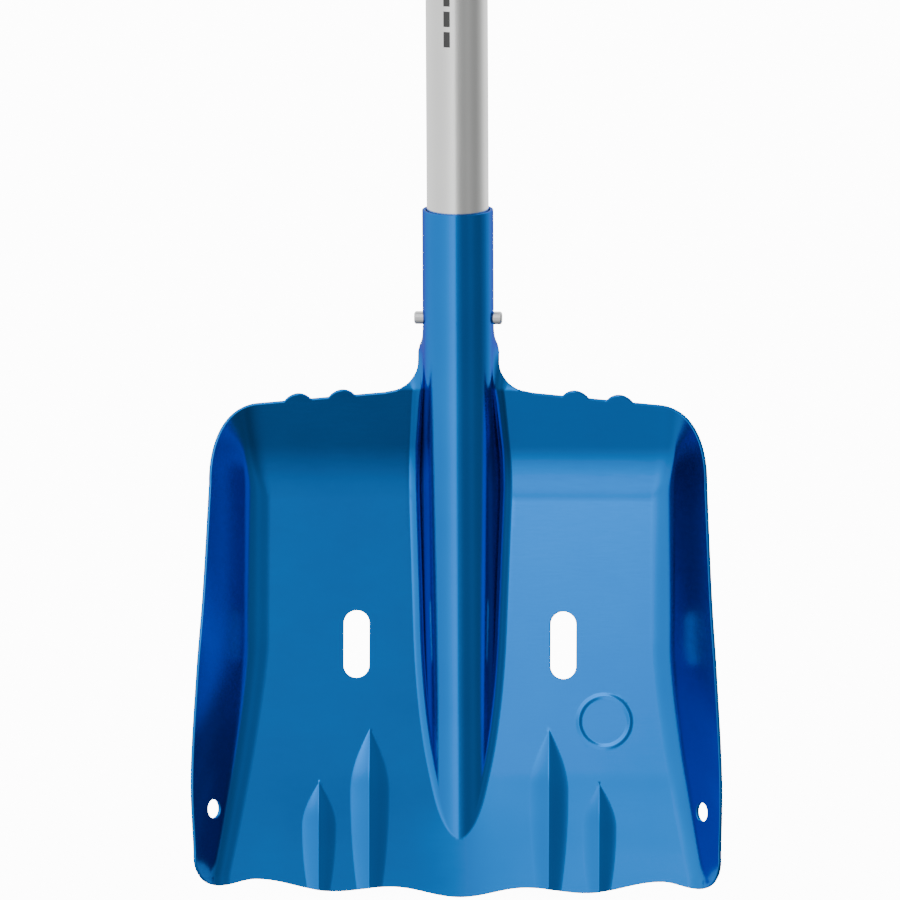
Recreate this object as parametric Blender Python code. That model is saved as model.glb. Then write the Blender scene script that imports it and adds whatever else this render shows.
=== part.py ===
"""Avalanche shovel: a pressed blade with a rolled socket, a telescoping shaft and a T grip.

The shaft runs straight up +Z. The hollow side of the blade faces -Y, and the tip of its
cutting edge is the origin. The blade leans forward from the shaft by the lift angle.
"""
import math

import bpy
import numpy as np
from mathutils.geometry import delaunay_2d_cdt

# Blade, in its own frame: u across, v up from the tip, w off the floor towards the user
SHEET = 0.0018
LIFT = math.radians(11.4)
RIDGE_R = 0.0174
RIDGE_K = 1 / math.cos(LIFT)
RIDGE_FILLET = 0.006
RIDGE_FLANK = math.radians(80)
NOSE_V = 0.029
FLOOR_TILT = math.radians(3)
SEAM_GAP = 0.0016
RIM_ALONG = 0.3109
NECK_OPEN_V = 0.249
NECK_CLOSED_V = 0.281
REAR_START_V, REAR_FILLET, REAR_SLOPE = 0.195, 0.027, 0.65
WALL_START_U, WALL_START_GAIN = 0.093, 0.019
EDGE_LOBES = ((0, 0), (0.0333, 0.0049), (0.0617, 0.0025), (0.0995, 0.0084), (0.1176, 0.0051))
SIDE_EDGE = ((0.1280, 0.022), (0.1286, 0.060), (0.1260, 0.110), (0.1232, 0.150), (0.1206, 0.203))
REAR_EDGE = ((0.0975, 0.2418), (0.0364, 0.2474), (0.0304, 0.2486))
NECK_EDGE = ((0.0248, 0.2524), (0.0218, 0.2566), (0.0203, 0.2610), (0.0201, 0.2680))
TEETH_U, TOOTH_HALF, TOOTH_HIGH = (0.0572, 0.0788), 0.0064, 0.0031
RIBS = ((0.0440, 0.083, 0.052, 0.0086, 0.0026), (0.0688, 0.0565, 0.0345, 0.0075, 0.0024))
SLOT_U, SLOT_V, SLOT_WIDE, SLOT_LONG = 0.0507, 0.1242, 0.0125, 0.033
CORNER_U, CORNER_V, CORNER_HOLE = 0.1192, 0.0434, 0.0092
BUTTON_ALONG, BUTTON_HOLE_R = 0.2570, 0.0039

# Shaft, handle and their fittings, in the object's frame
AXIS_Y = NOSE_V * math.sin(LIFT) + RIDGE_R
BUTTON_Z = NOSE_V * math.cos(LIFT) + BUTTON_ALONG
LOWER_R, LOWER_BORE, LOWER_FOOT, LOWER_TOP = 0.0151, 0.0137, 0.2450, 0.6400
UPPER_R, UPPER_BORE, UPPER_FOOT, UPPER_TOP = 0.0120, 0.0106, 0.3496, 0.6880
TELESCOPE = 0.240
LENGTH_BUTTON_Z = 0.3780
BUTTON_R = 0.0032
GRIP_BAR_Z, GRIP_HALF = 0.7040, 0.0600
BOLT_Z = 0.6640
GAP = 0.0003


def smooth(x):
    x = np.clip(x, 0, 1)
    return x * x * (3 - 2 * x)


def rear_wall(v):
    """Height that the rear wall adds to the floor. In the neck it keeps pace with the shaft."""
    along = np.clip(v - REAR_START_V, 0, NECK_OPEN_V - REAR_START_V)
    curved = np.minimum(along, REAR_FILLET)
    neck = np.maximum(v - NECK_OPEN_V, 0) * math.tan(LIFT)
    return REAR_SLOPE * (curved**2 / (2 * REAR_FILLET) + (along - curved)) + neck


def side_wall(u, v):
    forward = np.clip((0.125 - v) / 0.115, 0, 1)
    start = WALL_START_U + WALL_START_GAIN * forward**1.3
    slope = np.radians(52 + 5 * smooth(forward * 1.4))
    radius = 0.012 - 0.004 * forward
    out = np.maximum(u - start, 0)
    bend = radius * np.sin(slope)
    low = np.minimum(out, bend)
    return radius - np.sqrt(radius**2 - low**2) + (out - low) * np.tan(slope)


def ribs(u, v):
    total = 0 * u
    for centre, top, widest, half, high in RIBS:
        above = np.cos(np.clip((v - widest) / (top - widest), 0, 1) * math.pi / 2)
        below = 1 - 0.4 * np.clip((widest - v) / widest, 0, 1) ** 2
        swell = np.where(v > widest, above, below)
        tent = np.clip(1 - np.abs(u - centre) / np.maximum(half * swell, 1e-6), 0, 1)
        total = total + high * swell * (0.6 * tent + 0.4 * smooth(tent))
    return total


def floor_height(u, v):
    """Height of the pressed sheet away from the ridge."""
    rear = rear_wall(v)
    walls = np.sqrt(side_wall(u, v) ** 2 + rear**2)
    return u * math.tan(FLOOR_TILT) + walls + ribs(u, v)


def ridge_shape(v):
    """Half angle of the ridge's arc, its flank's length, and u where its fillet meets the floor."""
    crest = (v - NOSE_V) * math.tan(LIFT)
    reach = (RIDGE_R + RIDGE_FILLET) * np.ones_like(v)
    for _ in range(4):
        rise = (crest - rear_wall(v) - math.tan(FLOOR_TILT) * reach) / RIDGE_K
        inside = (RIDGE_R + RIDGE_FILLET * math.cos(FLOOR_TILT) - rise) / (RIDGE_R + RIDGE_FILLET)
        angle = np.arccos(np.clip(inside, math.cos(RIDGE_FLANK), 1))
        arc = RIDGE_R * (1 - np.cos(angle)) + RIDGE_FILLET * (math.cos(FLOOR_TILT) - np.cos(angle))
        flank = np.maximum(rise - arc, 0) / math.sin(RIDGE_FLANK)
        reach = (RIDGE_R + RIDGE_FILLET) * np.sin(angle) + flank * np.cos(angle)
        reach = reach + RIDGE_FILLET * math.sin(FLOOR_TILT)
    drop = RIDGE_K * (arc + flank * np.sin(angle))
    return angle, flank, reach, drop


def across_of(u, v):
    """Distance across the unrolled sheet, from the crest, of the point at u on the floor or a wall."""
    angle, flank, reach, _ = ridge_shape(v)
    return RIDGE_R * angle + flank + RIDGE_FILLET * (angle + FLOOR_TILT) + u - reach


def sheet_front(across, v):
    """Front face of the sheet, as (u, v, w), at a distance across the unrolled sheet."""
    side, s = np.sign(across), np.abs(across)
    angle, flank, reach, drop = ridge_shape(v)
    opened = smooth((NECK_CLOSED_V - v) / (NECK_CLOSED_V - NECK_OPEN_V))
    top = rear_wall(v) + math.tan(FLOOR_TILT) * reach + drop
    on_arc = np.minimum(s / RIDGE_R, angle)
    u = RIDGE_R * np.sin(on_arc)
    w = top - RIDGE_K * RIDGE_R * (1 - np.cos(on_arc))
    bend = flank + RIDGE_FILLET * (angle + FLOOR_TILT)
    past = np.maximum(s - RIDGE_R * angle, 0)
    turned = np.where(opened < 1, past, np.minimum(past, bend))
    steps = 64
    for i in range(steps):
        q = turned * (i + 0.5) / steps
        outward = -angle + np.clip((q - flank) / RIDGE_FILLET, 0, angle + FLOOR_TILT)
        wrapped = -angle - q / RIDGE_R
        heading = opened * outward + (1 - opened) * wrapped
        u = u + np.cos(heading) * turned / steps
        w = w + np.sin(heading) * RIDGE_K * turned / steps
    on_floor = (opened >= 1) & (past > bend)
    u = np.where(on_floor, reach + past - bend, u)
    w = np.where(on_floor, floor_height(u, v), w)
    return np.stack([side * u, v, w], axis=-1)


def to_object(points):
    u, v, w = points[..., 0], points[..., 1], points[..., 2]
    y = v * math.sin(LIFT) - w * math.cos(LIFT)
    return np.stack([u, y, v * math.cos(LIFT) + w * math.sin(LIFT)], axis=-1)


def sheet_normals(across, v):
    step = 1e-5
    d_across = sheet_front(across + step, v) - sheet_front(across - step, v)
    d_v = sheet_front(across, v + step) - sheet_front(across, v - step)
    normal = np.cross(d_across, d_v)
    return normal / np.linalg.norm(normal, axis=-1, keepdims=True)


def along_curve(points, count):
    """Points on a smooth curve through the given ones."""
    points = np.array(points, float)
    ends = np.vstack([2 * points[0] - points[1], points, 2 * points[-1] - points[-2]])
    out = []
    for p0, p1, p2, p3 in zip(ends, ends[1:], ends[2:], ends[3:]):
        for t in np.arange(count) / count:
            out.append(0.5 * (2 * p1 + (p2 - p0) * t + (2 * p0 - 5 * p1 + 4 * p2 - p3) * t**2
                              + (3 * p1 - p0 - 3 * p2 + p3) * t**3))
    return out + [points[-1]]


def quarter_turn(start, corner, end, count):
    """Points of a rounded corner between start and end, both left out."""
    t = (np.arange(1, count) / count)[:, None]
    start, corner, end = map(np.array, (start, corner, end))
    curve = (1 - t) ** 2 * start + 1.7 * t * (1 - t) * corner + t**2 * end
    return list(curve / ((1 - t) ** 2 + 1.7 * t * (1 - t) + t**2))


def cutting_edge(steps):
    """The scalloped front edge of one half, from the tip to the corner."""
    out = []
    for (u0, v0), (u1, v1) in zip(EDGE_LOBES, EDGE_LOBES[1:]):
        for t in np.arange(steps) / steps:
            out.append((u0 + (u1 - u0) * t, v0 + (v1 - v0) * (1 - math.cos(math.pi * t)) / 2))
    return out + [EDGE_LOBES[-1]]


def rear_edge(steps):
    """The foot edge of one half with its two teeth, from the corner to the neck."""
    out = []
    for (u0, v0), (u1, v1) in zip(REAR_EDGE, REAR_EDGE[1:]):
        count = max(2, round(abs(u1 - u0) / 0.0016 * steps))
        for t in np.arange(count) / count:
            u, v = u0 + (u1 - u0) * t, v0 + (v1 - v0) * t
            for tooth in TEETH_U:
                near = min(abs(u - tooth) / TOOTH_HALF, 1)
                v += TOOTH_HIGH * math.cos(near * math.pi / 2) ** 1.3
            out.append((u, v))
    return out


def rim_v(angle):
    """v of the socket's rim, cut square to the shaft."""
    return NOSE_V + RIM_ALONG * math.cos(LIFT) + RIDGE_R * math.sin(LIFT) * (1 - np.cos(angle))


def outline(fine):
    """One half of the sheet's edge, on the unrolled sheet, from the tip round to the rim's front."""
    corner = quarter_turn(EDGE_LOBES[-1], (0.1290, 0.0062), SIDE_EDGE[0], round(6 * fine))
    top = quarter_turn(SIDE_EDGE[-1], (0.1212, 0.2405), REAR_EDGE[0], round(8 * fine))
    flat = cutting_edge(round(7 * fine)) + corner + along_curve(SIDE_EDGE, round(5 * fine)) + top
    flat += rear_edge(fine) + along_curve((REAR_EDGE[-1], *NECK_EDGE), round(3 * fine))
    u, v = np.array(flat, float).T
    found = across_of(u, v)
    neck = v > NECK_OPEN_V
    for i in np.flatnonzero(neck):
        s = np.linspace(RIDGE_R * RIDGE_FLANK, 0.045, 400)
        reach = sheet_front(s, np.full(400, v[i]))[:, 0]
        found[i] = np.interp(u[i], reach, s)
    seam = math.pi * RIDGE_R - SEAM_GAP / 2
    t = np.arange(1, round(8 * fine) + 1) / round(8 * fine)
    notch = [(found[-1] + (seam - found[-1]) * smooth(x), v[-1] + 0.0180 * x) for x in t]
    top_v = rim_v(math.pi - SEAM_GAP / 2 / RIDGE_R)
    count = round(8 * fine)
    seam_up = [(seam, notch[-1][1] + (top_v - notch[-1][1]) * i / count) for i in range(1, count)]
    turns = np.linspace(seam / RIDGE_R, 0, round(17 * fine) + 1)[:-1]
    rim = [(RIDGE_R * a, rim_v(a)) for a in turns]
    return list(zip(found, v)) + notch + seam_up + rim


def slot_loop(fine):
    turn = round(6 * fine)
    half, straight = SLOT_WIDE / 2, (SLOT_LONG - SLOT_WIDE) / 2
    out = []
    for end, first in ((1, 0), (-1, math.pi)):
        for a in first + math.pi * np.arange(turn + 1) / turn:
            out.append((SLOT_U + half * math.cos(a), SLOT_V + end * straight + half * math.sin(a)))
    u, v = np.array(out).T
    return list(zip(across_of(u, v), v))


def corner_hole_loop(fine):
    """A round hole square to the side wall, which the wall's slope narrows across."""
    angles = 2 * math.pi * np.arange(round(16 * fine)) / round(16 * fine)
    u = CORNER_U + CORNER_HOLE / 2 * math.cos(math.radians(57)) * np.cos(angles)
    v = CORNER_V + CORNER_HOLE / 2 * np.sin(angles)
    return list(zip(across_of(u, v), v))


def button_hole_loop(fine):
    angles = 2 * math.pi * np.arange(round(16 * fine)) / round(16 * fine)
    turn = math.pi / 2 + BUTTON_HOLE_R / RIDGE_R * np.cos(angles)
    along = BUTTON_ALONG + BUTTON_HOLE_R * np.sin(angles)
    v = NOSE_V + along * math.cos(LIFT) + RIDGE_R * math.sin(LIFT) * (1 - np.cos(turn))
    return list(zip(RIDGE_R * turn, v))


def inner_points(rows, arcs, floor_u, wall_steps):
    """Points of one half that follow the ridge, its fillet, the floor, the ribs and the walls."""
    out = []
    for v in rows:
        row = np.array([v])
        angle, flank, reach, _ = (x[0] for x in ridge_shape(row))
        arc = [RIDGE_R * angle * i / arcs for i in range(arcs + 1)]
        foot = RIDGE_R * angle + flank
        turn = RIDGE_FILLET * (angle + FLOOR_TILT)
        if v > NECK_OPEN_V:
            wrap = math.pi * RIDGE_R - RIDGE_R * angle
            arc += [RIDGE_R * angle + wrap * i / (arcs + 2) for i in range(1, arcs + 2)]
        else:
            arc += [foot + turn * i / max(2, arcs // 2) for i in range(max(2, arcs // 2) + 1)]
            start = WALL_START_U + WALL_START_GAIN * np.clip((0.125 - v) / 0.115, 0, 1) ** 1.3
            us = [u for u in floor_u if reach + 0.003 < u < start - 0.003]
            us += [start + 0.037 * i / wall_steps for i in range(wall_steps + 1)]
            arc += list(across_of(np.array(us), np.full(len(us), v)))
        out += [(s, v) for s in arc]
    return out


def sheet_mesh(name, fine, rows, arcs, floor_u, wall_steps, clear):
    """The whole blade as one closed mesh: front, back and the cut edges between them."""
    half = outline(fine)
    loops = [half + [(-s, v) for s, v in half[:0:-1]]]
    for loop in (slot_loop(fine), corner_hole_loop(fine), button_hole_loop(fine)):
        loops += [loop, [(-s, v) for s, v in loop]]
    edge = np.array([p for loop in loops for p in loop], float)
    inner = inner_points(rows, arcs, floor_u, wall_steps)
    inner = inner + [(-s, v) for s, v in inner if s > 1e-6]
    inner = [p for p in inner if np.hypot(*(edge - p).T).min() > clear]
    points = [tuple(map(float, p)) for p in edge] + [tuple(map(float, p)) for p in inner]
    edges, faces, first = [], [], 0
    for loop in loops:
        ring = list(range(first, first + len(loop)))
        edges += list(zip(ring, ring[1:] + ring[:1]))
        faces.append(ring)
        first += len(loop)
    found = delaunay_2d_cdt(points, edges, [], 1, 1e-7)
    flat = np.array([tuple(p) for p in found[0]], float)
    triangles = [t for t in found[2] if not in_hole(flat[list(t)].mean(0), loops[1:])]
    return thicken(name, flat, triangles)


def in_hole(point, holes):
    return any(inside(point, hole) for hole in holes)


def inside(point, loop):
    x, y = point
    crossed = False
    for (x0, y0), (x1, y1) in zip(loop, loop[1:] + loop[:1]):
        if (y0 > y) != (y1 > y) and x < x0 + (x1 - x0) * (y - y0) / (y1 - y0):
            crossed = not crossed
    return crossed


def thicken(name, flat, triangles):
    used = sorted({i for t in triangles for i in t})
    place = {i: n for n, i in enumerate(used)}
    across, v = flat[used].T
    front = sheet_front(across, v)
    back = front - SHEET * sheet_normals(across, v)
    count = len(used)
    faces, rim = [], {}
    for t in triangles:
        a, b, c = (place[i] for i in t)
        faces += [(a, b, c), (c + count, b + count, a + count)]
        for edge in ((a, b), (b, c), (c, a)):
            rim[edge] = 1
    for a, b in rim:
        if (b, a) not in rim:
            faces += [(b, a, a + count), (b, a + count, b + count)]
    return mesh_object(name, to_object(np.vstack([front, back])).tolist(), faces)


def mesh_object(name, vertices, faces):
    mesh = bpy.data.meshes.new(name)
    mesh.from_pydata(vertices, [], faces)
    mesh.validate()
    obj = bpy.data.objects.new(name, mesh)
    bpy.context.scene.collection.objects.link(obj)
    return obj


def material(name, colour, metallic, roughness):
    made = bpy.data.materials.new(name)
    made.use_nodes = True
    shader = made.node_tree.nodes["Principled BSDF"]
    shader.inputs["Base Color"].default_value = (*colour, 1)
    shader.inputs["Metallic"].default_value = metallic
    shader.inputs["Roughness"].default_value = roughness
    return made


def painted(obj, paint):
    obj.data.materials.clear()
    obj.data.materials.append(paint)
    return obj


def helper(obj):
    """Keeps an object as a cutter or guide only."""
    obj.hide_render = True
    obj.display_type = "WIRE"
    return obj


def turned(name, profile, sides=48, at=(0, AXIS_Y, 0), axis="Z"):
    """A closed profile of (radius, height) points, turned about an axis through at."""
    rings = []
    for i in range(sides):
        a = 2 * math.pi * (i + 0.5) / sides
        rings.append([(r * math.cos(a), r * math.sin(a), h) for r, h in profile])
    vertices, index = [], {}
    for i, ring in enumerate(rings):
        for j, point in enumerate(ring):
            on_axis = abs(profile[j][0]) < 1e-9
            key = (0 if on_axis else i, j)
            if key not in index:
                index[key] = len(vertices)
                vertices.append(point)
            index[(i, j)] = index[key]
    faces = []
    for i in range(sides):
        k = (i + 1) % sides
        for j in range(len(profile)):
            m = (j + 1) % len(profile)
            quad = [index[(i, j)], index[(k, j)], index[(k, m)], index[(i, m)]]
            face = [x for n, x in enumerate(quad) if x not in quad[:n]]
            if len(face) > 2:
                faces.append(face)
    swapped = {
        "Z": lambda x, y, z: (x, y, z),
        "X": lambda x, y, z: (z, x, y),
        "Y": lambda x, y, z: (y, z, x),
    }[axis]
    placed = [tuple(p + o for p, o in zip(swapped(*v), at)) for v in vertices]
    return mesh_object(name, placed, faces)


def boxed(name, low, high):
    x, y, z = zip(low, high)
    corners = [(a, b, c) for a in x for b in y for c in z]
    faces = [(0, 1, 3, 2), (4, 6, 7, 5), (0, 4, 5, 1), (2, 3, 7, 6), (0, 2, 6, 4), (1, 5, 7, 3)]
    return mesh_object(name, corners, faces)


def combine(obj, other, operation):
    step = obj.modifiers.new(operation.lower(), "BOOLEAN")
    step.operation = operation
    step.solver = "EXACT"
    step.object = helper(other)
    return obj


def bore(obj, radius, start, end, at, axis, sides=24):
    """Cuts a round hole from start to end along an axis through at."""
    start, end = sorted((start, end))
    profile = [(0, start), (radius, start), (radius, end), (0, end)]
    return combine(obj, turned(obj.name + "_cutter", profile, sides, at, axis), "DIFFERENCE")


def tube(name, outer, inner, foot, top, sides=64):
    lip = 0.0004
    profile = [(inner, foot), (outer - lip, foot), (outer, foot + lip), (outer, top - lip)]
    return turned(name, profile + [(outer - lip, top), (inner, top)], sides)


def make_blade(paint):
    rows = [0.006, 0.013, 0.020, 0.0275, 0.0345, 0.043, 0.052, 0.060, 0.069, 0.078, 0.088]
    rows += [0.100, 0.113, 0.127, 0.142, 0.157, 0.172, 0.185, 0.195, 0.2035, 0.213, 0.222]
    rows += [0.232, 0.241, 0.2475, 0.2515, 0.2555, 0.260, 0.265, 0.270, 0.2755, 0.281]
    rows += [0.287, 0.296, 0.308, 0.321, 0.331]
    across = [0.0300, 0.0354, 0.0400, 0.0440, 0.0480, 0.0526, 0.0565, 0.0613, 0.0651]
    across += [0.0688, 0.0725, 0.0763, 0.0840]
    return painted(sheet_mesh("blade", 1.0, rows, 7, across, 6, 0.0022), paint)


def make_lower_shaft(paint):
    shaft = tube("lower_shaft", LOWER_R, LOWER_BORE, LOWER_FOOT, LOWER_TOP)
    for side in (-1, 1):
        bore(shaft, 0.0036, side * 0.010, side * 0.020, (0, AXIS_Y, BUTTON_Z), "X")
    for height in (0, TELESCOPE / 2, TELESCOPE):
        at = (0, AXIS_Y, LENGTH_BUTTON_Z + height)
        bore(shaft, 0.0036, 0.010, 0.020, at, "Y")
    return painted(shaft, paint)


def make_end_plug(paint):
    foot, top, low = LOWER_FOOT - GAP, 0.0070, 0.0040
    profile = [(0, foot - low), (0.0138, foot - low), (LOWER_R, foot - low + 0.0012), (LOWER_R, foot)]
    profile += [(LOWER_BORE - GAP, foot), (LOWER_BORE - GAP, foot + top)]
    profile += [(0.0105, foot + top), (0.0105, foot + 0.0015), (0, foot + 0.0015)]
    return painted(turned("shaft_end_plug", profile), paint)


def make_collar(paint):
    top, skirt, sleeve = LOWER_TOP + GAP, 0.0165, LOWER_BORE - GAP
    profile = [(UPPER_R + GAP, top - 0.010), (sleeve, top - 0.010), (sleeve, top)]
    profile += [(LOWER_R + GAP, top), (LOWER_R + GAP, top - 0.016), (skirt + 0.0006, top - 0.016)]
    profile += [(0.0178, top - 0.0145), (0.0178, top + 0.0040), (0.0168, top + 0.0055)]
    profile += [(UPPER_R + GAP, top + 0.0055)]
    return painted(turned("shaft_collar", profile), paint)


def v_leaf(name, arms, bend, thick, wide, way, at, paint):
    """A V-shaped leaf spring: two arms from a bend, spreading along x or y."""
    reach, high, low = arms
    outer = [(-reach, high), (-reach, high - 0.012), (-reach * 0.62, low + bend)]
    outer += [(-reach * 0.30, low + bend * 0.25), (0, low)]
    outer += [(-x, z) for x, z in outer[-2::-1]]
    inner = [(-reach + thick, high), (-reach + thick, high - 0.0119)]
    inner += [(-reach * 0.62 + thick * 0.95, low + bend + thick * 0.35)]
    inner += [(-reach * 0.30 + thick * 0.6, low + bend * 0.25 + thick * 0.8), (0, low + thick)]
    inner += [(-x, z) for x, z in inner[-2::-1]]
    ring = outer + inner[::-1]
    vertices, count = [], len(ring)
    for side in (-wide / 2, wide / 2):
        for x, z in ring:
            flat = (x, side) if way == "X" else (side, x)
            vertices.append((at[0] + flat[0], at[1] + flat[1], z))
    faces = [(i, (i + 1) % count, (i + 1) % count + count, i + count) for i in range(count)]
    half = len(outer)
    for i in range(half - 1):
        j = count - 1 - i
        faces.append((i, j, j - 1, i + 1))
        faces.append((i + 1 + count, j - 1 + count, j + count, i + count))
    if way == "X":
        faces = [f[::-1] for f in faces]
    return painted(mesh_object(name, vertices, faces), paint)


def make_blade_clip(metal, steel):
    v_leaf("blade_clip_spring", (0.0112, BUTTON_Z + 0.006, 0.2475), 0.009, 0.0007, 0.0070,
           "X", (0, AXIS_Y), metal)
    profile = [(0, 0.0115), (0.0042, 0.0115), (0.0042, 0.0127), (BUTTON_R, 0.0127)]
    profile += [(BUTTON_R, 0.0206), (BUTTON_R - 0.0004, 0.0212), (BUTTON_R - 0.0011, 0.0215), (0, 0.0215)]
    for name, side in (("blade_button_left", -1), ("blade_button_right", 1)):
        ends = profile if side > 0 else [(r, -h) for r, h in profile[::-1]]
        button = turned(name, ends, 24, (0, AXIS_Y, BUTTON_Z), "X")
        painted(button, steel)


def make_upper_shaft(paint):
    shaft = tube("upper_shaft", UPPER_R, UPPER_BORE, UPPER_FOOT, UPPER_TOP, 48)
    bore(shaft, 0.0036, 0.006, 0.016, (0, AXIS_Y, LENGTH_BUTTON_Z), "Y")
    bore(shaft, 0.0024, -0.02, 0.02, (0, AXIS_Y, BOLT_Z), "Y")
    return painted(shaft, paint)


def make_guide_bush(paint):
    foot = UPPER_FOOT - GAP
    profile = [(0, foot - 0.0035), (0.0126, foot - 0.0035), (LOWER_BORE - GAP, foot - 0.0027)]
    profile += [(LOWER_BORE - GAP, foot + 0.0160), (UPPER_R + GAP, foot + 0.0160)]
    profile += [(UPPER_R + GAP, foot), (0, foot)]
    return painted(turned("guide_bush", profile), paint)


def make_length_button(metal, steel):
    profile = [(0, 0.0083), (0.0040, 0.0083), (0.0040, 0.0093), (BUTTON_R, 0.0093)]
    profile += [(BUTTON_R, 0.0174), (BUTTON_R - 0.0004, 0.0180), (BUTTON_R - 0.0011, 0.0183), (0, 0.0183)]
    painted(turned("length_button", profile, 24, (0, AXIS_Y, LENGTH_BUTTON_Z), "Y"), steel)
    v_leaf("length_button_spring", (0.0080, LENGTH_BUTTON_Z + 0.006, 0.3520), 0.007, 0.0006,
           0.0060, "Y", (0, AXIS_Y), metal)


def make_grip_core(paint):
    foot, neck = LOWER_TOP + GAP + 0.0075, GRIP_BAR_Z - 0.004
    sleeve = [(0, foot), (0.0162, foot), (0.0168, foot + 0.0010), (0.0160, BOLT_Z + 0.006)]
    sleeve += [(0.0138, neck), (0, neck)]
    core = turned("grip_core", sleeve, 40)
    bar = [(0, -0.0500), (0.0118, -0.0500), (0.0118, -0.0172), (0.0150, -0.0140), (0.0150, 0.0140)]
    bar += [(0.0118, 0.0172), (0.0118, 0.0500), (0, 0.0500)]
    cross = turned("grip_bar", bar, 40, (0, AXIS_Y, GRIP_BAR_Z), "X")
    combine(core, cross, "UNION")
    bore(core, UPPER_R + GAP, foot - 0.01, UPPER_TOP + GAP, (0, AXIS_Y, 0), "Z", 48)
    seat = [(0, -0.03), (0.0043, -0.03), (0.0043, -0.0139), (0.0024, -0.0139), (0.0024, 0.0139)]
    seat += [(0.0046, 0.0139), (0.0046, 0.03), (0, 0.03)]
    combine(core, turned("grip_seat", seat, 24, (0, AXIS_Y, BOLT_Z), "Y"), "DIFFERENCE")
    return painted(core, paint)


def make_grip_ends(soft, hard):
    inner, outer = 0.0118 + GAP, 0.0150
    cover = [(inner, 0.0176), (outer - 0.0012, 0.0176), (outer, 0.0190), (outer, 0.0465)]
    cover += [(outer - 0.0012, 0.0478), (inner, 0.0478)]
    cap = [(0, 0.0503), (inner, 0.0503), (inner, 0.0481), (outer - 0.0006, 0.0481)]
    cap += [(outer, 0.0487), (outer, 0.0550), (outer - 0.0018, 0.0582), (outer - 0.0050, 0.0597)]
    cap += [(0, GRIP_HALF)]
    for name, side in (("left", -1), ("right", 1)):
        for kind, profile, paint in (("cover", cover, soft), ("cap", cap, hard)):
            ends = profile if side > 0 else [(r, -h) for r, h in profile[::-1]]
            piece = turned(f"grip_{kind}_{name}", ends, 40, (0, AXIS_Y, GRIP_BAR_Z), "X")
            painted(piece, paint)


def make_grip_fixing(steel):
    head = [(0, -0.0162), (0.0024, -0.0162), (0.0037, -0.0154), (0.0040, -0.0144), (0.0040, -0.0136)]
    head = [(r, h - 0.0006) for r, h in head]
    head += [(0.0020, -0.0142), (0.0020, 0.0172), (0, 0.0172)]
    bolt = turned("grip_bolt", head, 24, (0, AXIS_Y, BOLT_Z), "Y")
    bore(bolt, 0.0013, -0.0200, -0.0152, (0, AXIS_Y, BOLT_Z), "Y", 6)
    painted(bolt, steel)
    flats = [(0.0023, 0.0142), (0.0042, 0.0142), (0.0042, 0.0168), (0.0023, 0.0168)]
    painted(turned("grip_nut", flats, 6, (0, AXIS_Y, BOLT_Z), "Y"), steel)


def main():
    for obj in list(bpy.data.objects):
        bpy.data.objects.remove(obj)
    blue = material("blue_anodised", (0.0, 0.14, 0.47), 1.0, 0.28)
    silver = material("satin_aluminium", (0.76, 0.77, 0.76), 1.0, 0.30)
    steel = material("button_steel", (0.62, 0.63, 0.64), 1.0, 0.22)
    spring = material("spring_steel", (0.30, 0.31, 0.33), 1.0, 0.30)
    nylon = material("black_nylon", (0.02, 0.02, 0.022), 0.0, 0.55)
    soft = material("soft_rubber", (0.035, 0.036, 0.04), 0.0, 0.85)
    make_blade(blue)
    make_lower_shaft(silver)
    make_end_plug(nylon)
    make_collar(nylon)
    make_blade_clip(spring, steel)
    make_upper_shaft(silver)
    make_guide_bush(nylon)
    make_length_button(spring, steel)
    make_grip_core(nylon)
    make_grip_ends(soft, nylon)
    make_grip_fixing(steel)


main()
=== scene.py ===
"""Avalanche shovel: the fine blade, the finishes, the studio and the camera."""
import math

import bpy
import numpy as np
from mathutils import Matrix, Vector
from mathutils.geometry import delaunay_2d_cdt


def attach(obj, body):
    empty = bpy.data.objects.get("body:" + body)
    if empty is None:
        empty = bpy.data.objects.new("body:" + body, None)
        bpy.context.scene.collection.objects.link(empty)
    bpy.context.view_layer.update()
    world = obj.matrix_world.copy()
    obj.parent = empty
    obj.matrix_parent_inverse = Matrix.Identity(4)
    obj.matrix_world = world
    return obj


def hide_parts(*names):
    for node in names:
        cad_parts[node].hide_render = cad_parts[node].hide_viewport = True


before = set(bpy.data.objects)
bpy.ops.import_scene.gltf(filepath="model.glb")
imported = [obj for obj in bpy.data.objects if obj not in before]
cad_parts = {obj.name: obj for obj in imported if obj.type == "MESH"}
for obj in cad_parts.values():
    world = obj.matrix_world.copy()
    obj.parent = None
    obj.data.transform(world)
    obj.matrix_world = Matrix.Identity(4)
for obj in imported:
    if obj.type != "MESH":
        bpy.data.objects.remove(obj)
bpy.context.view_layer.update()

# Blade, in its own frame: u across, v up from the tip, w off the floor towards the user
SHEET = 0.0018
LIFT = math.radians(11.4)
RIDGE_R = 0.0174
RIDGE_K = 1 / math.cos(LIFT)
RIDGE_FILLET = 0.006
RIDGE_FLANK = math.radians(80)
NOSE_V = 0.029
FLOOR_TILT = math.radians(3)
SEAM_GAP, SEAM_NOTCH = 0.0016, 0.0180
RIM_ALONG = 0.3109
NECK_OPEN_V = 0.249
NECK_CLOSED_V = 0.281
REAR_START_V, REAR_FILLET, REAR_SLOPE = 0.195, 0.027, 0.65
WALL_START_U, WALL_START_GAIN, WALL_START_POWER = 0.093, 0.019, 1.3
WALL_BACK_V, WALL_FRONT_RUN = 0.125, 0.115
WALL_ANGLE, WALL_MORE_ANGLE = 52, 5
EDGE_LOBES = ((0, 0), (0.0333, 0.0049), (0.0617, 0.0025), (0.0995, 0.0084), (0.1176, 0.0051))
FRONT_CORNER, REAR_CORNER, CORNER_WEIGHT = (0.1290, 0.0062), (0.1212, 0.2405), 1.7
SIDE_EDGE = ((0.1280, 0.022), (0.1286, 0.060), (0.1260, 0.110), (0.1232, 0.150), (0.1206, 0.203))
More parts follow.
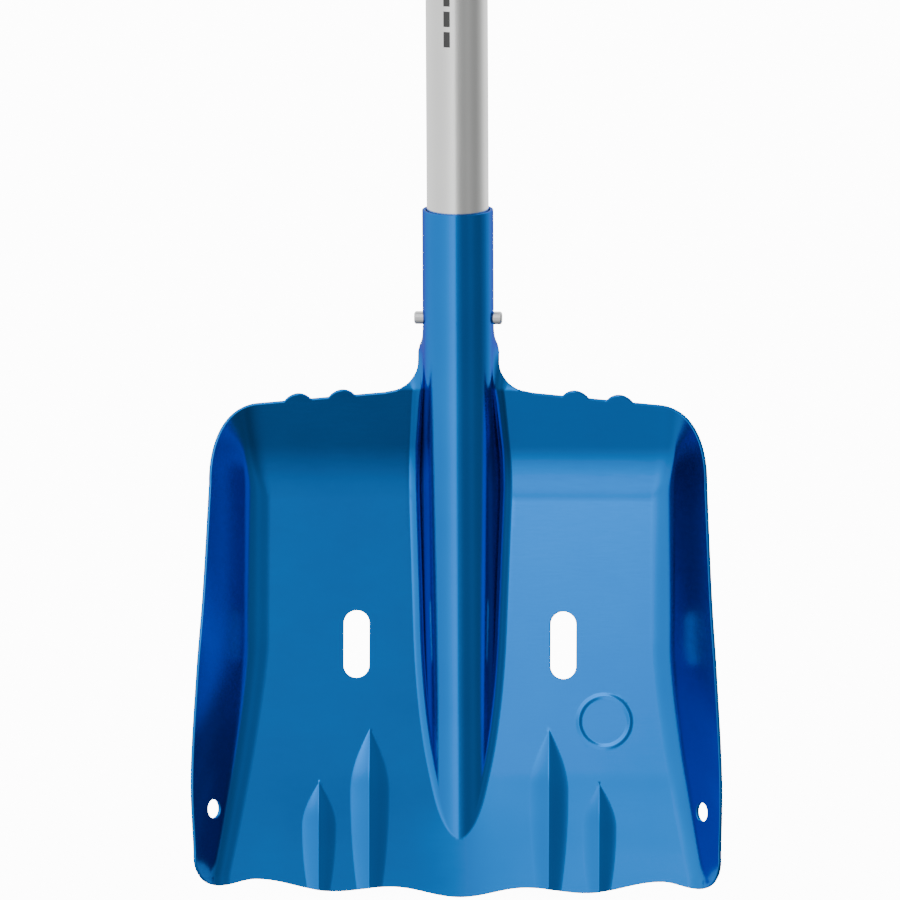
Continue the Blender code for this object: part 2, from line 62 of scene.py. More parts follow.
REAR_EDGE = ((0.0975, 0.2418), (0.0364, 0.2474), (0.0304, 0.2486))
NECK_EDGE = ((0.0248, 0.2524), (0.0218, 0.2566), (0.0203, 0.2610), (0.0201, 0.2680))
TEETH_U, TOOTH_HALF, TOOTH_HIGH = (0.0572, 0.0788), 0.0064, 0.0031
# Each rib: u of its middle, v of its top, v where it is widest, half width, height
RIBS = ((0.0440, 0.083, 0.052, 0.0086, 0.0026), (0.0688, 0.0565, 0.0345, 0.0075, 0.0024))
SLOT_U, SLOT_V, SLOT_WIDE, SLOT_LONG = 0.0507, 0.1242, 0.0125, 0.033
CORNER_U, CORNER_V, CORNER_HOLE = 0.1192, 0.0434, 0.0092
CORNER_SLOPE = math.radians(57)
BUTTON_ALONG, BUTTON_HOLE_R = 0.2570, 0.0039

# Where the visual model is softer or fuller than the solid blade
WALL_BEND_R, WALL_BEND_LESS = 0.016, 0.005
RIB_FULLER, RIB_POWER = 1.15, 1.6
TOOTH_POWER = 0.85
EMBLEM_U, EMBLEM_V, EMBLEM_R = 0.0710, 0.0870, 0.0125
EMBLEM_HIGH, EMBLEM_HALF = 0.00025, 0.0018
EDGE_ROUND = 0.0004
FLOOR_CROWN = 0.06
LEVEL_FROM_V, LEVEL_RUN, LEVEL_SOFT = 0.062, 0.04, 0.03

# How finely the visual model is divided
FINE, CURL_STEPS, ARC_STEPS, WALL_STEPS, RIM_TURNS = 3.0, 64, 16, 26, 5
ROWS_V = sorted([*np.arange(0.002, 0.345, 0.0018), *np.arange(0.0265, 0.046, 0.0006)])
FLOOR_U = np.arange(0.002, 0.115, 0.0015)
WALL_RUN, RIB_CLEAR, FLOOR_CLEAR, EMBLEM_CLEAR = 0.037, 0.0016, 0.001, 0.003
EMBLEM_RINGS, EMBLEM_TURN = np.arange(-0.0024, 0.0025, 0.0004), 120
# Where points stand across a rib, in half widths
RIB_SHARES = [-1.16, -1.07, -1, -0.93, -0.8, -0.6, -0.4, -0.2, -0.08, 0]
RIB_SHARES += [-x for x in RIB_SHARES[:-1]]

# What is printed on the shaft: plain bars, in a column left of the middle
BAR_X, BAR_HALF_WIDE = -0.0042, 0.0016
BARS_FROM_Z, BAR_PITCH, BAR_HALF_TALL, BARS = 0.420, 0.010, 0.0038, 3

# The fine grooves round the grip covers, and the shaft's axis
GROOVE_PITCH = 0.0036
AXIS_Y = NOSE_V * math.sin(LIFT) + RIDGE_R


def smooth(x):
    """From 0 to 1, level at both ends."""
    x = np.clip(x, 0, 1)
    return x * x * (3 - 2 * x)


def rear_wall(v):
    """Height that the rear wall adds to the floor. In the neck it keeps pace with the shaft."""
    along = np.clip(v - REAR_START_V, 0, NECK_OPEN_V - REAR_START_V)
    curved = np.minimum(along, REAR_FILLET)
    neck = np.maximum(v - NECK_OPEN_V, 0) * math.tan(LIFT)
    return REAR_SLOPE * (curved**2 / (2 * REAR_FILLET) + (along - curved)) + neck


def forward_of(v):
    """0 from the middle of the blade back, 1 at its corners."""
    return np.clip((WALL_BACK_V - v) / WALL_FRONT_RUN, 0, 1)


def wall_start(v):
    """u where the bend to the side wall starts."""
    return WALL_START_U + WALL_START_GAIN * forward_of(v) ** WALL_START_POWER


def side_wall(u, v):
    """Height that the side wall adds to the floor."""
    forward = forward_of(v)
    slope = np.radians(WALL_ANGLE + WALL_MORE_ANGLE * smooth(forward * 1.4))
    radius = WALL_BEND_R - WALL_BEND_LESS * forward
    out = np.maximum(u - wall_start(v), 0)
    bend = radius * np.sin(slope)
    low = np.minimum(out, bend)
    return radius - np.sqrt(radius**2 - low**2) + (out - low) * np.tan(slope)


def rib_swell(v, top, widest):
    """A rib's share of its full width and height, which tapers off to both ends."""
    above = np.cos(np.clip((v - widest) / (top - widest), 0, 1) * math.pi / 2)
    below = 1 - 0.4 * np.clip((widest - v) / widest, 0, 1) ** 2
    return np.where(v > widest, above, below)


def ribs(u, v):
    """Height that the ribs add to the floor."""
    total = 0 * u
    for centre, top, widest, half, high in RIBS:
        swell = rib_swell(v, top, widest)
        wide = np.maximum(RIB_FULLER * half * swell, 1e-6)
        tent = np.clip(1 - np.abs(u - centre) / wide, 0, 1)
        total = total + high * swell * tent**RIB_POWER
    return total


def levelled(v):
    """How far the floor's fall towards the ridge has rounded off in front of the ridge's nose."""
    return smooth((LEVEL_FROM_V - v) / LEVEL_RUN)


def tilt_rise(u, v):
    """The floor's fall towards the ridge."""
    soft = LEVEL_SOFT * levelled(v)
    return math.tan(FLOOR_TILT) * (np.sqrt(u**2 + soft**2) - soft)


def emblem(u, v):
    """A plain raised ring, where such blades are stamped."""
    off = np.abs(np.hypot(u - EMBLEM_U, v - EMBLEM_V) - EMBLEM_R)
    return EMBLEM_HIGH * smooth(1 - off / EMBLEM_HALF)


def crown(v):
    """How far the floor bows back towards the tip."""
    return FLOOR_CROWN * np.maximum(REAR_START_V - v, 0) ** 2


def floor_height(u, v):
    """Height of the pressed sheet away from the ridge."""
    walls = np.sqrt(side_wall(u, v) ** 2 + rear_wall(v) ** 2)
    return tilt_rise(u, v) + walls + ribs(u, v) - crown(v)


def ridge_shape(v):
    """The ridge's half angle, the lengths of its flank and fillet, u at its foot, and its height."""
    crest = (v - NOSE_V) * math.tan(LIFT)
    tilt = FLOOR_TILT * (1 - levelled(v))
    reach = (RIDGE_R + RIDGE_FILLET) * np.ones_like(v)
    for _ in range(4):
        rise = (crest - rear_wall(v) - tilt_rise(reach, v)) / RIDGE_K
        inside = (RIDGE_R + RIDGE_FILLET * np.cos(tilt) - rise) / (RIDGE_R + RIDGE_FILLET)
        angle = np.arccos(np.clip(inside, math.cos(RIDGE_FLANK), 1))
        arc = RIDGE_R * (1 - np.cos(angle)) + RIDGE_FILLET * (np.cos(tilt) - np.cos(angle))
        flank = np.maximum(rise - arc, 0) / math.sin(RIDGE_FLANK)
        reach = (RIDGE_R + RIDGE_FILLET) * np.sin(angle) + flank * np.cos(angle)
        reach = reach + RIDGE_FILLET * np.sin(tilt)
    drop = RIDGE_K * (arc + flank * np.sin(angle))
    return angle, flank, RIDGE_FILLET * (angle + tilt), reach, drop


def across_of(u, v):
    """Distance from the crest, across the unrolled sheet, of the point at u on the floor or a wall."""
    angle, flank, fillet, reach, _ = ridge_shape(v)
    return RIDGE_R * angle + flank + fillet + u - reach


def sheet_front(across, v):
    """Front face of the sheet, as (u, v, w), at a distance across the unrolled sheet."""
    side, s = np.sign(across), np.abs(across)
    angle, flank, fillet, reach, drop = ridge_shape(v)
    opened = smooth((NECK_CLOSED_V - v) / (NECK_CLOSED_V - NECK_OPEN_V))
    top = rear_wall(v) + tilt_rise(reach, v) + drop - crown(v)
    on_arc = np.minimum(s / RIDGE_R, angle)
    u = RIDGE_R * np.sin(on_arc)
    w = top - RIDGE_K * RIDGE_R * (1 - np.cos(on_arc))
    bend = flank + fillet
    past = np.maximum(s - RIDGE_R * angle, 0)
    turned = np.where(opened < 1, past, np.minimum(past, bend))
    for i in range(CURL_STEPS):
        q = turned * (i + 0.5) / CURL_STEPS
        outward = -angle + np.clip(q - flank, 0, fillet) / RIDGE_FILLET
        wrapped = -angle - q / RIDGE_R
        heading = opened * outward + (1 - opened) * wrapped
        u = u + np.cos(heading) * turned / CURL_STEPS
        w = w + np.sin(heading) * RIDGE_K * turned / CURL_STEPS
    on_floor = (opened >= 1) & (past > bend)
    u = np.where(on_floor, reach + past - bend, u)
    w = np.where(on_floor, floor_height(u, v), w) + emblem(side * u, v)
    return np.stack([side * u, v, w], axis=-1)


def to_object(points):
    """From the blade's frame to the object's."""
    u, v, w = points[..., 0], points[..., 1], points[..., 2]
    y = v * math.sin(LIFT) - w * math.cos(LIFT)
    return np.stack([u, y, v * math.cos(LIFT) + w * math.sin(LIFT)], axis=-1)


def unit(vectors):
    """The vectors at length 1."""
    return vectors / np.maximum(np.linalg.norm(vectors, axis=-1, keepdims=True), 1e-12)


def sheet_normals(across, v):
    """The front face's normals, worked out from its slopes."""
    step = 2e-5
    d_across = sheet_front(across + step, v) - sheet_front(across - step, v)
    d_v = sheet_front(across, v + step) - sheet_front(across, v - step)
    return unit(np.cross(d_across, d_v))


def along_curve(points, count):
    """Points on a smooth curve through the given ones."""
    points = np.array(points, float)
    ends = np.vstack([2 * points[0] - points[1], points, 2 * points[-1] - points[-2]])
    out = []
    for p0, p1, p2, p3 in zip(ends, ends[1:], ends[2:], ends[3:]):
        for t in np.arange(count) / count:
            out.append(0.5 * (2 * p1 + (p2 - p0) * t + (2 * p0 - 5 * p1 + 4 * p2 - p3) * t**2
                              + (3 * p1 - p0 - 3 * p2 + p3) * t**3))
    return out + [points[-1]]


def quarter_turn(start, corner, end, count):
    """Points of a rounded corner between start and end, both left out."""
    t = (np.arange(1, count) / count)[:, None]
    start, corner, end = map(np.array, (start, corner, end))
    pull = CORNER_WEIGHT * t * (1 - t)
    curve = (1 - t) ** 2 * start + pull * corner + t**2 * end
    return list(curve / ((1 - t) ** 2 + pull + t**2))


def cutting_edge(steps):
    """The scalloped front edge of one half, from the tip to the corner."""
    out = []
    for (u0, v0), (u1, v1) in zip(EDGE_LOBES, EDGE_LOBES[1:]):
        for t in np.arange(steps) / steps:
            out.append((u0 + (u1 - u0) * t, v0 + (v1 - v0) * (1 - math.cos(math.pi * t)) / 2))
    return out + [EDGE_LOBES[-1]]


def rear_edge(steps):
    """The foot edge of one half with its two teeth, from the corner to the neck."""
    out = []
    for (u0, v0), (u1, v1) in zip(REAR_EDGE, REAR_EDGE[1:]):
        count = max(2, round(abs(u1 - u0) / 0.0016 * steps))
        for t in np.arange(count) / count:
            u, v = u0 + (u1 - u0) * t, v0 + (v1 - v0) * t
            for tooth in TEETH_U:
                near = min(abs(u - tooth) / TOOTH_HALF, 1)
                v += TOOTH_HIGH * (1 - near**2) ** TOOTH_POWER
            out.append((u, v))
    return out


def rim_v(angle):
    """v of the socket's rim, cut square to the shaft."""
    return NOSE_V + RIM_ALONG * math.cos(LIFT) + RIDGE_R * math.sin(LIFT) * (1 - np.cos(angle))


def outline(fine):
    """One half of the sheet's edge, on the unrolled sheet, from the tip round to the rim's front."""
    corner = quarter_turn(EDGE_LOBES[-1], FRONT_CORNER, SIDE_EDGE[0], round(6 * fine))
    top = quarter_turn(SIDE_EDGE[-1], REAR_CORNER, REAR_EDGE[0], round(8 * fine))
    flat = cutting_edge(round(7 * fine)) + corner + along_curve(SIDE_EDGE, round(5 * fine)) + top
    flat += rear_edge(fine) + along_curve((REAR_EDGE[-1], *NECK_EDGE), round(3 * fine))
    u, v = np.array(flat, float).T
    found = across_of(u, v)
    for i in np.flatnonzero(v > NECK_OPEN_V):
        s = np.linspace(RIDGE_R * RIDGE_FLANK, 0.045, 400)
        reach = sheet_front(s, np.full(400, v[i]))[:, 0]
        found[i] = np.interp(u[i], reach, s)
    seam = math.pi * RIDGE_R - SEAM_GAP / 2
    t = np.arange(1, round(8 * fine) + 1) / round(8 * fine)
    notch = [(found[-1] + (seam - found[-1]) * smooth(x), v[-1] + SEAM_NOTCH * x) for x in t]
    top_v = rim_v(math.pi - SEAM_GAP / 2 / RIDGE_R)
    count = round(8 * fine)
    seam_up = [(seam, notch[-1][1] + (top_v - notch[-1][1]) * i / count) for i in range(1, count)]
    turns = np.linspace(seam / RIDGE_R, 0, round(17 * fine) + 1)[:-1]
    rim = [(RIDGE_R * a, rim_v(a)) for a in turns]
    return list(zip(found, v)) + notch + seam_up + rim


def slot_loop(fine):
    """The right slot, with round ends."""
    turn = round(6 * fine)
    half, straight = SLOT_WIDE / 2, (SLOT_LONG - SLOT_WIDE) / 2
    out = []
    for end, first in ((1, 0), (-1, math.pi)):
        for a in first + math.pi * np.arange(turn + 1) / turn:
            out.append((SLOT_U + half * math.cos(a), SLOT_V + end * straight + half * math.sin(a)))
    u, v = np.array(out).T
    return list(zip(across_of(u, v), v))


def corner_hole_loop(fine):
    """A round hole square to the side wall, which the wall's slope narrows across."""
    angles = 2 * math.pi * np.arange(round(16 * fine)) / round(16 * fine)
    u = CORNER_U + CORNER_HOLE / 2 * math.cos(CORNER_SLOPE) * np.cos(angles)
    v = CORNER_V + CORNER_HOLE / 2 * np.sin(angles)
    return list(zip(across_of(u, v), v))


def button_hole_loop(fine):
    """The right button hole, in the side of the socket."""
    angles = 2 * math.pi * np.arange(round(16 * fine)) / round(16 * fine)
    turn = math.pi / 2 + BUTTON_HOLE_R / RIDGE_R * np.cos(angles)
    along = BUTTON_ALONG + BUTTON_HOLE_R * np.sin(angles)
    v = NOSE_V + along * math.cos(LIFT) + RIDGE_R * math.sin(LIFT) * (1 - np.cos(turn))
    return list(zip(RIDGE_R * turn, v))


def inner_points():
    """Points of one half that follow the ridge, its fillet, the floor, the ribs and the walls."""
    out = []
    for v in ROWS_V:
        angle, flank, fillet, reach, _ = (x[0] for x in ridge_shape(np.array([v])))
        arc = [RIDGE_R * angle * i / ARC_STEPS for i in range(ARC_STEPS + 1)]
        foot = RIDGE_R * angle + flank
        if v > NECK_OPEN_V:
            wrap = math.pi * RIDGE_R - RIDGE_R * angle
            steps = ARC_STEPS + 2
            arc += [RIDGE_R * angle + wrap * i / steps for i in range(1, steps)]
        else:
            arc += [foot + fillet * i / ARC_STEPS for i in range(ARC_STEPS + 1)]
            start = wall_start(v)
            us = [u for u in FLOOR_U if reach + FLOOR_CLEAR < u < start - FLOOR_CLEAR]
            for centre, top, widest, half, _ in RIBS:
                if v < top:
                    wide = RIB_FULLER * half * float(rib_swell(v, top, widest))
                    us = [u for u in us if abs(u - centre) > wide + RIB_CLEAR]
                    us += [centre + wide * x for x in RIB_SHARES if reach < centre + wide * x]
            us = sorted(us)
            us += [start + WALL_RUN * i / WALL_STEPS for i in range(WALL_STEPS + 1)]
            arc += list(across_of(np.array(us), np.full(len(us), v)))
        out += [(s, v) for s in arc]
    return out


def inset(loop, by):
    """A loop moved into the sheet, which leaves room for its rounded cut edge."""
    points = np.array(loop, float)
    along = np.roll(points, -1, 0) - np.roll(points, 1, 0)
    inward = unit(np.stack([-along[:, 1], along[:, 0]], 1))
    return points + by * inward


def inside(points, loop):
    """Which points lie inside a loop."""
    x, y = points.T
    crossed = np.zeros(len(points), bool)
    for (x0, y0), (x1, y1) in zip(loop, np.roll(loop, -1, 0)):
        if y0 != y1:
            crosses = ((y0 > y) != (y1 > y)) & (x < x0 + (x1 - x0) * (y - y0) / (y1 - y0))
            crossed ^= crosses
    return crossed


def inside_all(points, loops):
    """Which points lie inside the first loop and in none of the others."""
    found = inside(points, loops[0])
    for hole in loops[1:]:
        found &= ~inside(points, hole)
    return found


def fine_blade():
    """The whole blade: front, back and rounded cut edges, with the pressing's own normals."""
    half = outline(FINE)
    loops = [inset(half + [(-s, v) for s, v in half[:0:-1]], EDGE_ROUND)]
    for loop in (slot_loop(FINE), corner_hole_loop(FINE), button_hole_loop(FINE)):
        mirrored = [(-s, v) for s, v in loop][::-1]
        loops += [inset(loop, -EDGE_ROUND), inset(mirrored, -EDGE_ROUND)]
    edge = np.vstack(loops)
    inner = np.array(inner_points())
    inner = np.vstack([inner, inner[inner[:, 0] > 1e-6] * (-1, 1)])
    # Rings of points follow the emblem
    middle = np.array([across_of(np.array([EMBLEM_U]), np.array([EMBLEM_V]))[0], EMBLEM_V])
    off = np.hypot(*(inner - middle).T)
    inner = inner[(off < EMBLEM_R - EMBLEM_CLEAR) | (off > EMBLEM_R + EMBLEM_CLEAR)]
    turn = 2 * math.pi * np.arange(EMBLEM_TURN) / EMBLEM_TURN
    for radius in EMBLEM_R + EMBLEM_RINGS:
        circle = middle + radius * np.stack([np.cos(turn), np.sin(turn)], 1)
        inner = np.vstack([inner, circle])
    inner = inner[inside_all(inner, loops)]
    near = np.array([np.hypot(*(edge - p).T).min() for p in inner])
    inner = inner[near > EDGE_ROUND]
    points = [Vector(map(float, p)) for p in np.vstack([edge, inner])]
    edges, first = [], 0
    for loop in loops:
        ring = list(range(first, first + len(loop)))
        edges += list(zip(ring, ring[1:] + ring[:1]))
        first += len(loop)
    found = delaunay_2d_cdt(points, edges, [], 1, 1e-7)
    flat = np.array([tuple(p) for p in found[0]], float)
    triangles = np.array([t for t in found[2] if len(t) == 3])
    good = inside_all(flat[triangles].mean(1), loops)
    return rounded_sheet("blade_sheet", flat, triangles[good])


def rounded_sheet(name, flat, triangles):
    """The sheet with its thickness and rounded cut edges."""
    used, index = np.unique(triangles, return_inverse=True)
    triangles = index.reshape(-1, 3)
    across, v = flat[used].T
    normal = sheet_normals(across, v)
    front = sheet_front(across, v)
    back = front - SHEET * normal
    count = len(used)
    pairs = np.vstack([triangles[:, [0, 1]], triangles[:, [1, 2]], triangles[:, [2, 0]]])
    known = set(map(tuple, pairs.tolist()))
    rim = [(a, b) for a, b in known if (b, a) not in known]
    out = np.zeros((count, 3))
    for a, b in rim:
        away = np.cross(front[b] - front[a], normal[a] + normal[b])
        away = away / max(np.linalg.norm(away), 1e-12)
        out[a] += away
        out[b] += away
    on_rim = sorted({i for pair in rim for i in pair})
    place = {i: n for n, i in enumerate(on_rim)}
    lean = (out[on_rim] * normal[on_rim]).sum(1, keepdims=True)
    outward = unit(out[on_rim] - lean * normal[on_rim])
    middle = (front[on_rim] + back[on_rim]) / 2
    points, normals = [front, back], [normal, -normal]
    rings = [list(on_rim)]
    for turn in range(1, RIM_TURNS + 1):
        angle = math.pi * turn / (RIM_TURNS + 1)
        rise, reach = math.cos(angle), math.sin(angle)
        points.append(middle + SHEET / 2 * rise * normal[on_rim] + EDGE_ROUND * reach * outward)
        normals.append(unit(EDGE_ROUND * rise * normal[on_rim] + SHEET / 2 * reach * outward))
        start = 2 * count + (turn - 1) * len(on_rim)
        rings.append([start + n for n in range(len(on_rim))])
    rings.append([i + count for i in on_rim])
    faces = triangles.tolist() + (triangles[:, ::-1] + count).tolist()
    for upper, lower in zip(rings, rings[1:]):
        for a, b in rim:
            i, j = place[a], place[b]
            faces.append((upper[j], upper[i], lower[i], lower[j]))
    mesh = bpy.data.meshes.new(name)
    mesh.from_pydata(to_object(np.vstack(points)).tolist(), [], faces)
    mesh.validate()
    mesh.shade_smooth()
    mesh.normals_split_custom_set_from_vertices(to_object(np.vstack(normals)).tolist())
    obj = bpy.data.objects.new(name, mesh)
    bpy.context.scene.collection.objects.link(obj)
    return obj


# Finishes

def plug(tree, socket, value):
    """Links a socket to another one, or sets its number or colour."""
    if isinstance(value, bpy.types.NodeSocket):
        tree.links.new(value, socket)
    else:
        socket.default_value = value


def add_node(tree, kind, inputs=(), **settings):
    """A new node with its settings and inputs."""
    made = tree.nodes.new(kind)
    for key, value in settings.items():
        setattr(made, key, value)
    for key, value in dict(inputs).items():
        plug(tree, made.inputs[key], value)
    return made


class Finish:
    """A node material, built up from short calls."""

    def __init__(self, name):
        self.made = bpy.data.materials.new(name)
        self.made.use_nodes = True
        self.tree = self.made.node_tree
        self.shader = self.tree.nodes["Principled BSDF"]
        self.where = self.node("ShaderNodeTexCoord").outputs["Object"]

    def node(self, kind, inputs=(), **settings):
        return add_node(self.tree, kind, inputs, **settings)

    def noise(self, scale, stretch=(1, 1, 1), detail=4.0, rough=0.55):
        placed = self.node("ShaderNodeMapping", {"Vector": self.where, "Scale": stretch})
        made = self.node("ShaderNodeTexNoise", {"Vector": placed.outputs[0], "Scale": scale,
                                                "Detail": detail, "Roughness": rough})
        return made.outputs["Fac"]

    def math(self, operation, a, b=0.0, c=0.0):
        return self.node("ShaderNodeMath", {0: a, 1: b, 2: c}, operation=operation).outputs[0]

    def between(self, value, low, high, start=0.0, end=1.0):
        inputs = {"Value": value, "From Min": low, "From Max": high, "To Min": start, "To Max": end}
        return self.node("ShaderNodeMapRange", inputs).outputs[0]

    def spread(self, noise, start, end):
        """The middle of a noise's range, spread from start to end."""
        return self.between(noise, 0.3, 0.7, start, end)

    def mix(self, share, a, b):
        inputs = {"Factor": share, "A": a, "B": b}
        made = self.node("ShaderNodeMix", (), data_type="RGBA")
        for key, value in inputs.items():
            plug(self.tree, [s for s in made.inputs if s.name == key and s.enabled][0], value)
        return [s for s in made.outputs if s.enabled][0]

    def bump(self, height, distance, strength=1.0, under=None):
        inputs = {"Height": height, "Distance": distance, "Strength": strength}
        if under is not None:
            inputs["Normal"] = under
        return self.node("ShaderNodeBump", inputs).outputs[0]

    def done(self, **inputs):
        for key, value in inputs.items():
            plug(self.tree, self.shader.inputs[key.replace("_", " ")], value)
        return self.made


def blue_anodised():
    f = Finish("blue_anodised")
    grain = f.noise(60.0, (1.0, 26.0, 26.0), 3.0, 0.6)
    cloud = f.noise(14.0, (1, 1, 1), 3.0)
    tone = f.spread(cloud, 0.0, 1.0)
    colour = f.mix(tone, (0.0, 0.165, 0.60, 1), (0.0, 0.185, 0.65, 1))
    rough = f.math("ADD", f.spread(grain, 0.13, 0.18), f.spread(cloud, 0.0, 0.03))
    return f.done(Base_Color=colour, Metallic=1.0, Roughness=rough,
                  Normal=f.bump(grain, 0.00002, 0.5), Specular_Tint=(0.10, 0.22, 0.45, 1),
                  Coat_Weight=0.15, Coat_Roughness=0.2, Coat_IOR=1.5)


def satin_aluminium(printed=False):
    """Drawn tube, clear anodised. The printed one has plain bars up its front."""
    f = Finish("printed_aluminium" if printed else "satin_aluminium")
    grain = f.noise(90.0, (14.0, 14.0, 0.6), 3.0, 0.6)
    cloud = f.noise(30.0)
    colour = f.mix(cloud, (0.88, 0.885, 0.87, 1), (0.93, 0.935, 0.92, 1))
    metal = 1.0
    if printed:
        x, y, z = f.node("ShaderNodeSeparateXYZ", {0: f.where}).outputs
        beside = f.math("COMPARE", x, BAR_X, BAR_HALF_WIDE)
        front = f.math("LESS_THAN", y, AXIS_Y)
        pitch = f.math("WRAP", z, BARS_FROM_Z + BAR_PITCH, BARS_FROM_Z)
        bar = f.math("COMPARE", pitch, BARS_FROM_Z + BAR_PITCH / 2, BAR_HALF_TALL)
        half = BARS * BAR_PITCH / 2
        span = f.math("COMPARE", z, BARS_FROM_Z + half, half)
        ink = f.math("MULTIPLY", beside, front)
        ink = f.math("MULTIPLY", ink, f.math("MULTIPLY", bar, span))
        colour = f.mix(ink, colour, (0.03, 0.03, 0.03, 1))
        metal = f.math("SUBTRACT", 1.0, ink)
    return f.done(Base_Color=colour, Metallic=metal,
                  Roughness=f.spread(grain, 0.20, 0.27),
                  Normal=f.bump(grain, 0.00002, 0.5))


def bright_steel():
    f = Finish("bright_steel")
    grain = f.noise(400.0)
    colour = f.mix(grain, (0.62, 0.63, 0.64, 1), (0.70, 0.71, 0.72, 1))
    return f.done(Base_Color=colour, Metallic=1.0, Roughness=f.spread(grain, 0.12, 0.2),
                  Normal=f.bump(grain, 0.00002, 0.4))


def spring_strip():
    f = Finish("spring_strip")
    grain = f.noise(300.0, (1, 1, 0.2))
    colour = f.mix(grain, (0.32, 0.33, 0.35, 1), (0.42, 0.43, 0.44, 1))
    return f.done(Base_Color=colour, Metallic=1.0, Roughness=f.spread(grain, 0.25, 0.38),
                  Normal=f.bump(grain, 0.00002, 0.4))


def moulded_plastic(name, dark, light):
    f = Finish(name)
    grain = f.noise(1800.0, (1, 1, 1), 2.0)
    wide = f.noise(40.0)
    colour = f.mix(wide, (*dark, 1), (*light, 1))
    return f.done(Base_Color=colour, Roughness=f.spread(wide, 0.46, 0.56),
                  Normal=f.bump(grain, 0.00006, 0.6))


def soft_rubber():
    f = Finish("soft_rubber")
    x = f.node("ShaderNodeSeparateXYZ", {0: f.where}).outputs[0]
    wave = f.math("SINE", f.math("MULTIPLY", x, 2 * math.pi / GROOVE_PITCH))
    # The groove mask drives the bump and also paints shade: the grooves' bottoms are painted darker
    groove_and_shade = f.between(wave, -1.0, -0.55)
    grain = f.noise(1500.0, (1, 1, 1), 2.0)
    # Painted shade: the base colour is darker in the bottoms of the grooves than on the ridges between
    # them
    colour = f.mix(groove_and_shade, (0.010, 0.010, 0.011, 1), (0.030, 0.031, 0.033, 1))
    return f.done(Base_Color=colour, Roughness=f.spread(grain, 0.66, 0.78),
                  Normal=f.bump(grain, 0.00005, 0.5, f.bump(groove_and_shade, 0.0006, 0.9)))


def wear(obj, finish):
    """Gives an object its one material."""
    obj.data.materials.clear()
    obj.data.materials.append(finish)


# The object

blade = fine_blade()
wear(blade, blue_anodised())
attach(blade, "blade")
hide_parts("blade")

steel, strip, rubber = bright_steel(), spring_strip(), soft_rubber()
nylon = moulded_plastic("black_nylon", (0.016, 0.016, 0.017), (0.024, 0.024, 0.026))
hard = moulded_plastic("grip_plastic", (0.018, 0.018, 0.019), (0.027, 0.027, 0.029))
FINISHES = {
    "lower_shaft": satin_aluminium(printed=True), "upper_shaft": satin_aluminium(),
    "shaft_end_plug": nylon, "shaft_collar": nylon, "guide_bush": nylon,
    "blade_clip_spring": strip, "length_button_spring": strip,
    "blade_button_left": steel, "blade_button_right": steel, "length_button": steel,
    "grip_bolt": steel, "grip_nut": steel, "grip_core": hard,
    "grip_cap_left": hard, "grip_cap_right": hard,
    "grip_cover_left": rubber, "grip_cover_right": rubber,
}
for name, finish in FINISHES.items():
    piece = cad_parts[name]
    wear(piece, finish)
    weld = piece.modifiers.new("weld", "WELD")
    weld.merge_threshold = 1e-6
    piece.data.shade_smooth()
    split = piece.modifiers.new("creases", "EDGE_SPLIT")
    split.split_angle = math.radians(32)


# The studio

# How bright the backdrop is to the camera, and the light on what is matt
PALE, FILL = 13.0, 1.6
FLOOR_HALF, FLOOR_Z, FLOOR_TONE = 150.0, -0.0010, 0.9


def pale_paper():
    """White paper that gives the rest of the backdrop's brightness itself."""
    f = Finish("floor_paper")
    fibre = f.noise(300.0, (1, 1, 1), 2.0)
    colour = f.mix(fibre, (0.90, 0.90, 0.90, 1), (0.93, 0.93, 0.93, 1))
    return f.done(Base_Color=colour, Roughness=0.9, Specular_IOR_Level=0.1,
                  Emission_Color=(1, 1, 1, 1), Emission_Strength=PALE - FLOOR_TONE * FILL)


sides = ((-1, -1), (1, -1), (1, 1), (-1, 1))
floor = bpy.data.objects.new("floor", bpy.data.meshes.new("floor"))
floor.data.from_pydata([(FLOOR_HALF * x, FLOOR_HALF * y, 0) for x, y in sides], [], [(0, 1, 2, 3)])
floor.location.z = FLOOR_Z
floor.visible_glossy = floor.visible_diffuse = False
bpy.context.scene.collection.objects.link(floor)
wear(floor, pale_paper())

# How bright the studio looks in what shines, by degrees around (to the right) and above the level
WALLS = ((-180, 1.8), (-120, 1.4), (-60, 1.1), (-3, 0.80), (6, 0.60), (16, 0.42), (30, 0.40),
         (45, 0.46), (60, 0.36), (80, 0.33), (100, 0.56), (130, 1.5), (180, 1.9))
WALLS_UP = ((-90, 0.3), (-55, 0.38), (-30, 0.65), (-10, 0.9), (10, 1.0), (40, 1.0), (90, 0.7))
LIGHT = ((-180, 0), (-80, 0.1), (-60, 0.2), (-40, 0.4), (-20, 0.85), (-12, 1.1), (-5, 1.1),
         (-3, 0), (180, 0))
LIGHT_UP = ((-90, 0.15), (-58, 0.22), (-48, 0.35), (-36, 0.75), (-20, 1.0), (-5, 0.95), (5, 0.5),
            (9, 0.76), (13, 1.6), (20, 1.9), (30, 1.9), (45, 1.5), (90, 0.5))


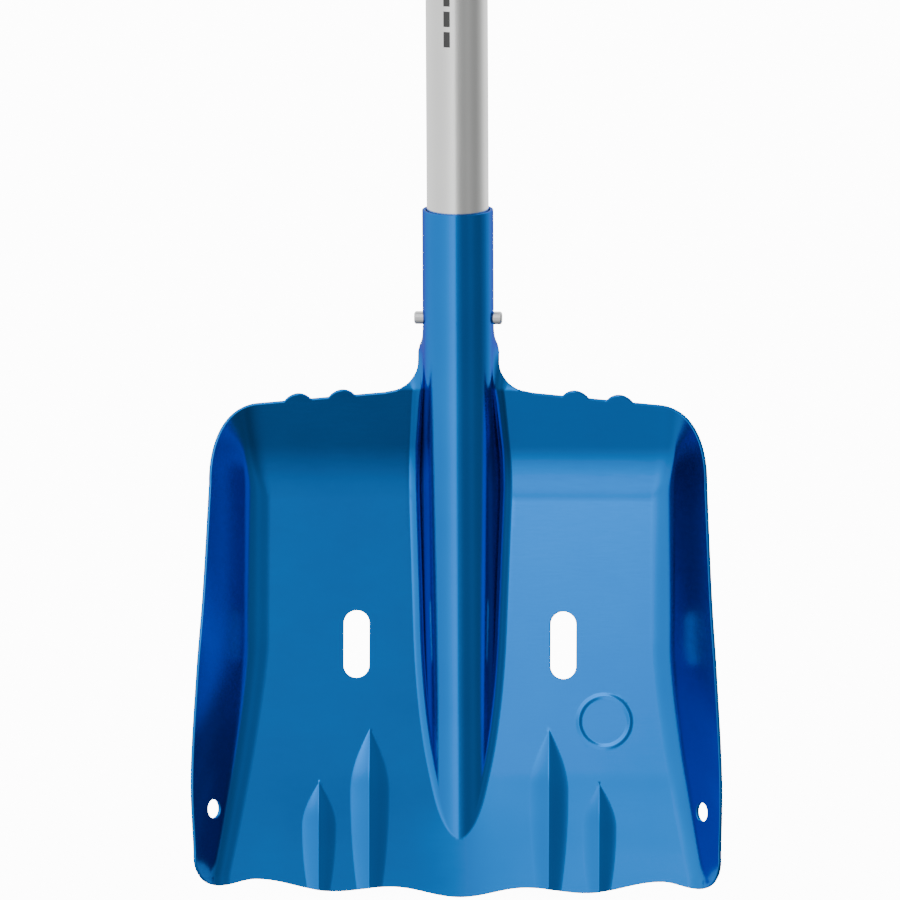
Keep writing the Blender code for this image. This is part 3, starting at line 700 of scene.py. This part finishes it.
def studio():
    """Pale behind the object, with an even fill light.

    What shines sees a wide soft light on the left and greyer walls on the right.
    """
    world = bpy.data.worlds.new("studio")
    bpy.context.scene.world = world
    world.use_nodes = True
    tree = world.node_tree
    tree.nodes.clear()

    def node(kind, inputs=(), **settings):
        return add_node(tree, kind, inputs, **settings)

    def math_node(operation, a, b):
        return node("ShaderNodeMath", {0: a, 1: b}, operation=operation).outputs[0]

    def glow(strength):
        return node("ShaderNodeBackground", {"Color": (1, 1, 1, 1), "Strength": strength}).outputs[0]

    def either(choice, no, yes):
        return node("ShaderNodeMixShader", {0: choice, 1: no, 2: yes}).outputs[0]

    def ramp(value, turn, stops):
        """Brightness at an angle between -turn and turn."""
        most = max(level for _, level in stops)
        share = node("ShaderNodeMapRange", {"Value": value, "From Min": -turn, "From Max": turn})
        made = node("ShaderNodeValToRGB", {"Fac": share.outputs[0]})
        spots = made.color_ramp.elements
        while len(spots) > 1:
            spots.remove(spots[-1])
        for n, (at, level) in enumerate(stops):
            place = (math.radians(at) + turn) / (2 * turn)
            spot = spots[0] if n == 0 else spots.new(place)
            spot.position = place
            spot.color = (*[level / most] * 3, 1)
        return math_node("MULTIPLY", made.outputs[0], most)

    way = node("ShaderNodeSeparateXYZ", {0: node("ShaderNodeTexCoord").outputs["Generated"]})
    x, y, z = way.outputs
    around = math_node("ARCTAN2", x, math_node("MULTIPLY", y, -1.0))
    above = node("ShaderNodeMath", {0: z}, operation="ARCSINE").outputs[0]

    def lit(across, upward):
        """Brightness that changes around and above."""
        return math_node("MULTIPLY", ramp(around, math.pi, across), ramp(above, math.pi / 2, upward))

    shine = glow(math_node("ADD", lit(WALLS, WALLS_UP), lit(LIGHT, LIGHT_UP)))
    ray = node("ShaderNodeLightPath").outputs
    chosen = either(ray["Is Glossy Ray"], glow(FILL), shine)
    chosen = either(ray["Is Camera Ray"], chosen, glow(PALE))
    tree.links.new(chosen, node("ShaderNodeOutputWorld").inputs[0])


studio()

# The camera looks almost square onto the blade's floor, a little from the right
SEEN_WIDE = 0.44145
YAW, RISE, ROLL, LENS = math.radians(2.9), math.radians(12.0), math.radians(-0.3), 400.0
AIM_UP, SHIFT_LEFT, SHIFT_UP = 0.2195, 0.00318825, 0.0000981
right = Vector((math.cos(YAW), math.sin(YAW), 0))
ahead = Vector((-math.sin(YAW) * math.cos(RISE), math.cos(YAW) * math.cos(RISE), -math.sin(RISE)))
up = right.cross(ahead)
aim = up * AIM_UP
right, up = (right * math.cos(ROLL) + up * math.sin(ROLL),
             up * math.cos(ROLL) - right * math.sin(ROLL))
aim = aim - right * SHIFT_LEFT + up * SHIFT_UP
camera = bpy.data.objects.new("camera", bpy.data.cameras.new("camera"))
camera.data.lens = LENS
camera.location = aim - ahead * (LENS / camera.data.sensor_width * SEEN_WIDE)
camera.rotation_mode = "QUATERNION"
camera.rotation_quaternion = Matrix((right, up, -ahead)).transposed().to_quaternion()
camera.data.clip_start, camera.data.clip_end = 0.1, 200
bpy.context.scene.collection.objects.link(camera)
bpy.context.scene.camera = camera
